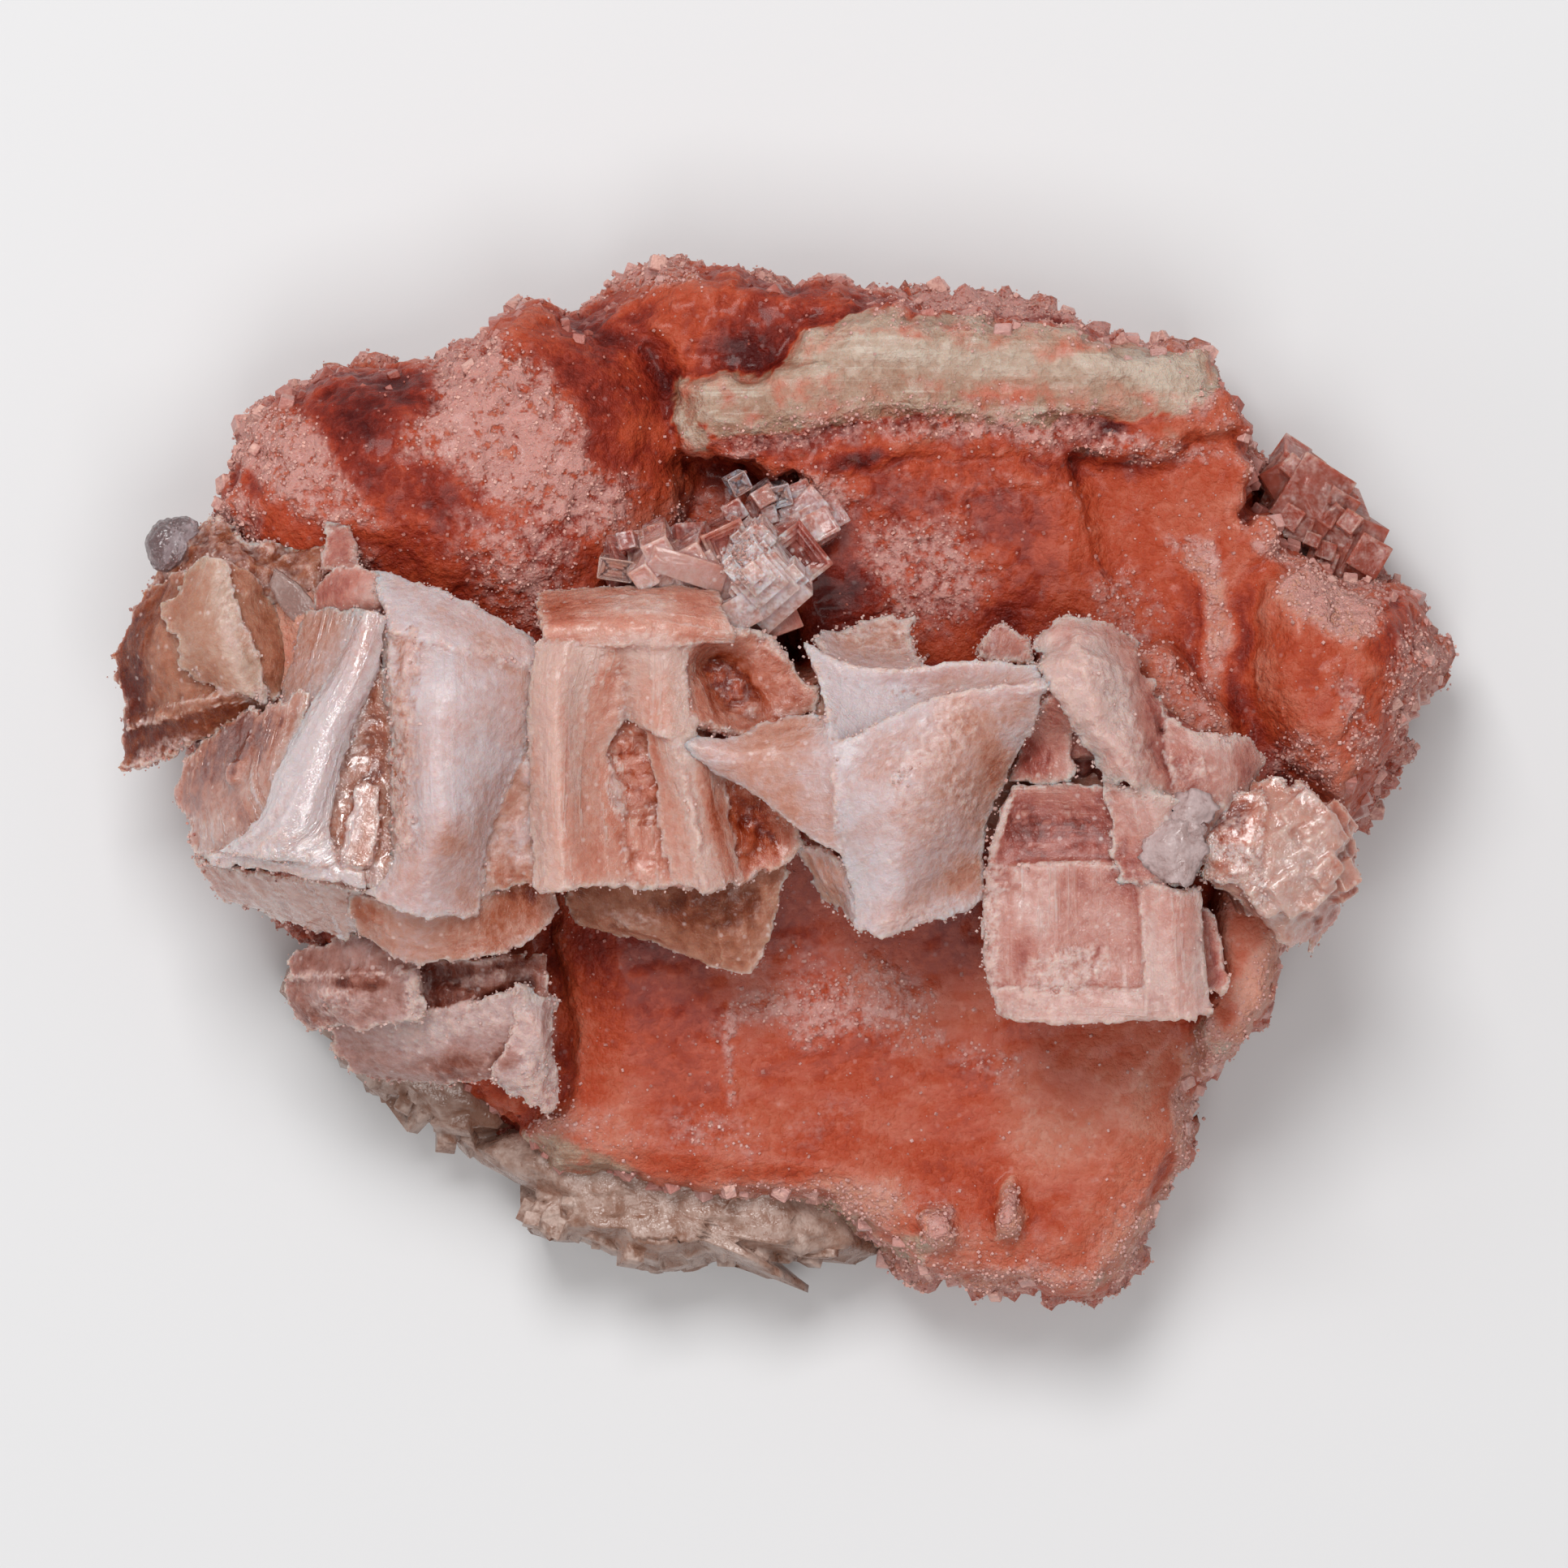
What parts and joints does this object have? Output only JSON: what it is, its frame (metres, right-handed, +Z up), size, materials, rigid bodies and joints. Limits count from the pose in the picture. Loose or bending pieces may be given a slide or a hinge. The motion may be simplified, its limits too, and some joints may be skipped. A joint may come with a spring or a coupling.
{
  "type": "halite hopper crystal cluster",
  "caption": "Pink halite mineral specimen: thin-walled hopper crystals in a ridge across an orange-red salt slab, lying on its flat back.",
  "frame": {"origin": "middle of the footprint, on the flat back that the cluster rests on", "axes": "+X along the ridge of hopper crystals, +Y towards the banded ledge, +Z up, out of the crystal-bearing face"},
  "size_m": [0.12, 0.0944, 0.0448],
  "materials": {
    "red_salt": "saturated orange-red salt, grainy and waxy, with frosty pink patches",
    "amber_salt": "brown-amber translucent salt with a satin gloss",
    "peach_salt": "peach translucent salt with growth bands",
    "milky_salt": "milky pinkish-white translucent salt, satin, faintly striated",
    "frosted_salt": "white-frosted pink salt",
    "clear_salt": "clear to greyish salt"
  },
  "bodies": {
    "root": {"halite_matrix": "red_salt", "back_crystals": "red_salt", "left_hopper": "amber_salt", "left_clear_knob": "clear_salt", "left_clear_blade": "clear_salt", "pink_nub": "peach_salt", "blade_hopper": "milky_salt", "column_hopper": "milky_salt", "middle_hopper": "peach_salt", "under_hopper": "amber_salt", "stepped_cubes": "frosted_salt", "star_hopper": "milky_salt", "peak_hopper": "milky_salt", "block_hopper": "milky_salt", "right_clear_knob": "clear_salt", "far_right_hopper": "amber_salt", "corner_hopper": "frosted_salt", "clear_fringe": "clear_salt"}
  },
  "joints": []
}
